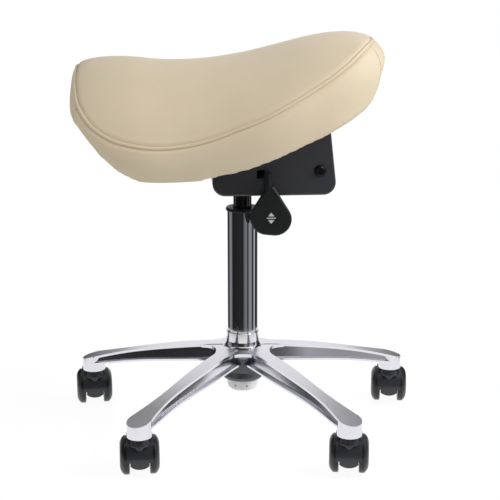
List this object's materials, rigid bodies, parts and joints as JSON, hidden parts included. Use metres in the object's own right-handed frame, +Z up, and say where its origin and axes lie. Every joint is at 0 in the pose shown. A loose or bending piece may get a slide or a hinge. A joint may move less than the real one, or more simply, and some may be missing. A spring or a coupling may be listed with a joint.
{
  "type": "saddle stool",
  "caption": "Saddle stool with a padded cream saddle seat, tilt housing with a control lever, height column and a star base on twin-wheel casters.",
  "frame": {"origin": "on the floor, under the axis of the height column", "axes": "+Z up along the column; the seat's long axis is X, with its low wide front at -X and its raised rear at +X; the control lever is on the -Y side"},
  "size_m": [0.5819, 0.5688, 0.6515],
  "materials": {
    "polished_aluminium": "polished",
    "column_chrome": "polished",
    "black_nylon": "satin",
    "white_nylon": "satin",
    "bright_steel": "satin",
    "black_steel": "satin",
    "black_rubber": "matte",
    "black_enamel": "gloss",
    "housing_paint": "satin",
    "paddle_plastic": "satin",
    "hood_plastic": "gloss",
    "wheel_plastic": "satin",
    "cream_leather": "satin",
    "cream_band": "satin",
    "seat_foam": "matte",
    "beech_ply": "satin",
    "under_cover": "matte"
  },
  "bodies": {
    "base": {"base_star": "polished_aluminium", "stem_sleeves": "black_nylon", "column_tube": "column_chrome", "column_guide": "black_nylon", "thrust_bearing": "bright_steel", "base_cap": "white_nylon", "caster_stem_1": "black_steel", "caster_stem_2": "black_steel", "caster_stem_3": "black_steel", "caster_stem_4": "black_steel", "caster_stem_5": "black_steel"},
    "rod": {"piston_rod": "bright_steel", "piston_head": "black_nylon", "rod_clip": "bright_steel", "rod_buffer": "black_rubber"},
    "lift": {"lift_cylinder": "black_enamel", "lift_gland": "black_nylon", "tilt_housing": "housing_paint", "taper_bush": "housing_paint", "slide_guide": "black_nylon", "pivot_bushes": "black_nylon", "pivot_bolt": "black_steel", "pivot_nut": "black_steel", "pivot_tube": "bright_steel", "friction_washers": "black_nylon"},
    "pin": {"release_pin": "bright_steel"},
    "slider": {"lock_slider": "bright_steel", "fulcrum_pin": "bright_steel"},
    "lever": {"lever_rod": "black_steel", "lever_paddle": "paddle_plastic"},
    "seat": {"seat_bracket": "housing_paint", "lock_quadrant": "bright_steel", "seat_top_panel": "cream_leather", "seat_side_band": "cream_band", "seat_foam": "seat_foam", "seat_board": "beech_ply", "seat_riser": "beech_ply", "seat_under_cover": "under_cover", "seat_bolts": "bright_steel", "seat_tee_nuts": "bright_steel"},
    "caster_1": {"caster_hood_1": "hood_plastic", "caster_axle_1": "bright_steel"},
    "left_wheel_1": {"wheel_left_1": "wheel_plastic"},
    "right_wheel_1": {"wheel_right_1": "wheel_plastic"},
    "caster_2": {"caster_hood_2": "hood_plastic", "caster_axle_2": "bright_steel"},
    "left_wheel_2": {"wheel_left_2": "wheel_plastic"},
    "right_wheel_2": {"wheel_right_2": "wheel_plastic"},
    "caster_3": {"caster_hood_3": "hood_plastic", "caster_axle_3": "bright_steel"},
    "left_wheel_3": {"wheel_left_3": "wheel_plastic"},
    "right_wheel_3": {"wheel_right_3": "wheel_plastic"},
    "caster_4": {"caster_hood_4": "hood_plastic", "caster_axle_4": "bright_steel"},
    "left_wheel_4": {"wheel_left_4": "wheel_plastic"},
    "right_wheel_4": {"wheel_right_4": "wheel_plastic"},
    "caster_5": {"caster_hood_5": "hood_plastic", "caster_axle_5": "bright_steel"},
    "left_wheel_5": {"wheel_left_5": "wheel_plastic"},
    "right_wheel_5": {"wheel_right_5": "wheel_plastic"}
  },
  "joints": [
    {"name": "seat_swivel", "type": "hinge", "parent": "base", "child": "rod", "pos_m": [0, 0, 0.09], "axis": [0, 0, 1], "continuous": true},
    {"name": "height_lift", "type": "slide", "parent": "rod", "child": "lift", "axis": [0, 0, 1], "range_m": [0, 0.2]},
    {"name": "seat_tilt", "type": "hinge", "parent": "lift", "child": "seat", "pos_m": [0.1196, 0, 0.4387], "axis": [0, 1, 0], "range_deg": [-9, 6]},
    {"name": "lock_slide", "type": "slide", "parent": "lift", "child": "slider", "axis": [-0.515, 0.8572, 0], "range_m": [0, 0.008]},
    {"name": "lever_rock", "type": "hinge", "parent": "slider", "child": "lever", "pos_m": [0.01803, -0.03, 0.4326], "axis": [-0.8572, -0.515, 0], "range_deg": [0, 5.5]},
    {"name": "release_pin_travel", "type": "slide", "parent": "lift", "child": "pin", "axis": [0, 0, -1], "range_m": [0, 0.0034], "stiffness_N_per_m": 150, "springref_m": -0.01},
    {"name": "caster_swivel_1", "type": "hinge", "parent": "base", "child": "caster_1", "pos_m": [0.26104, 0.06897, 0.06], "axis": [0, 0, 1], "continuous": true},
    {"name": "left_wheel_spin_1", "type": "hinge", "parent": "caster_1", "child": "left_wheel_1", "pos_m": [0.264, 0.08875, 0.03], "axis": [0.989, -0.1478, 0], "continuous": true},
    {"name": "right_wheel_spin_1", "type": "hinge", "parent": "caster_1", "child": "right_wheel_1", "pos_m": [0.264, 0.08875, 0.03], "axis": [0.989, -0.1478, 0], "continuous": true},
    {"name": "caster_swivel_2", "type": "hinge", "parent": "base", "child": "caster_2", "pos_m": [0.01507, 0.26958, 0.06], "axis": [0, 0, 1], "continuous": true},
    {"name": "left_wheel_spin_2", "type": "hinge", "parent": "caster_2", "child": "left_wheel_2", "pos_m": [0.01643, 0.28953, 0.03], "axis": [0.9977, -0.068, 0], "continuous": true},
    {"name": "right_wheel_spin_2", "type": "hinge", "parent": "caster_2", "child": "right_wheel_2", "pos_m": [0.01643, 0.28953, 0.03], "axis": [0.9977, -0.068, 0], "continuous": true},
    {"name": "caster_swivel_3", "type": "hinge", "parent": "base", "child": "caster_3", "pos_m": [-0.25173, 0.09764, 0.06], "axis": [0, 0, 1], "continuous": true},
    {"name": "left_wheel_spin_3", "type": "hinge", "parent": "caster_3", "child": "left_wheel_3", "pos_m": [-0.25347, 0.11756, 0.03], "axis": [0.9962, 0.0872, 0], "continuous": true},
    {"name": "right_wheel_spin_3", "type": "hinge", "parent": "caster_3", "child": "right_wheel_3", "pos_m": [-0.25347, 0.11756, 0.03], "axis": [0.9962, 0.0872, 0], "continuous": true},
    {"name": "caster_swivel_4", "type": "hinge", "parent": "base", "child": "caster_4", "pos_m": [-0.17065, -0.20924, 0.06], "axis": [0, 0, 1], "continuous": true},
    {"name": "left_wheel_spin_4", "type": "hinge", "parent": "caster_4", "child": "left_wheel_4", "pos_m": [-0.17117, -0.18924, 0.03], "axis": [0.9997, 0.0262, 0], "continuous": true},
    {"name": "right_wheel_spin_4", "type": "hinge", "parent": "caster_4", "child": "right_wheel_4", "pos_m": [-0.17117, -0.18924, 0.03], "axis": [0.9997, 0.0262, 0], "continuous": true},
    {"name": "caster_swivel_5", "type": "hinge", "parent": "base", "child": "caster_5", "pos_m": [0.14626, -0.22695, 0.06], "axis": [0, 0, 1], "continuous": true},
    {"name": "left_wheel_spin_5", "type": "hinge", "parent": "caster_5", "child": "left_wheel_5", "pos_m": [0.14922, -0.20717, 0.03], "axis": [0.989, -0.1478, 0], "continuous": true},
    {"name": "right_wheel_spin_5", "type": "hinge", "parent": "caster_5", "child": "right_wheel_5", "pos_m": [0.14922, -0.20717, 0.03], "axis": [0.989, -0.1478, 0], "continuous": true}
  ],
  "couplings": [
    {"joint": "release_pin_travel", "follows": "lever_rock", "m_per_rad": 0.035}
  ]
}
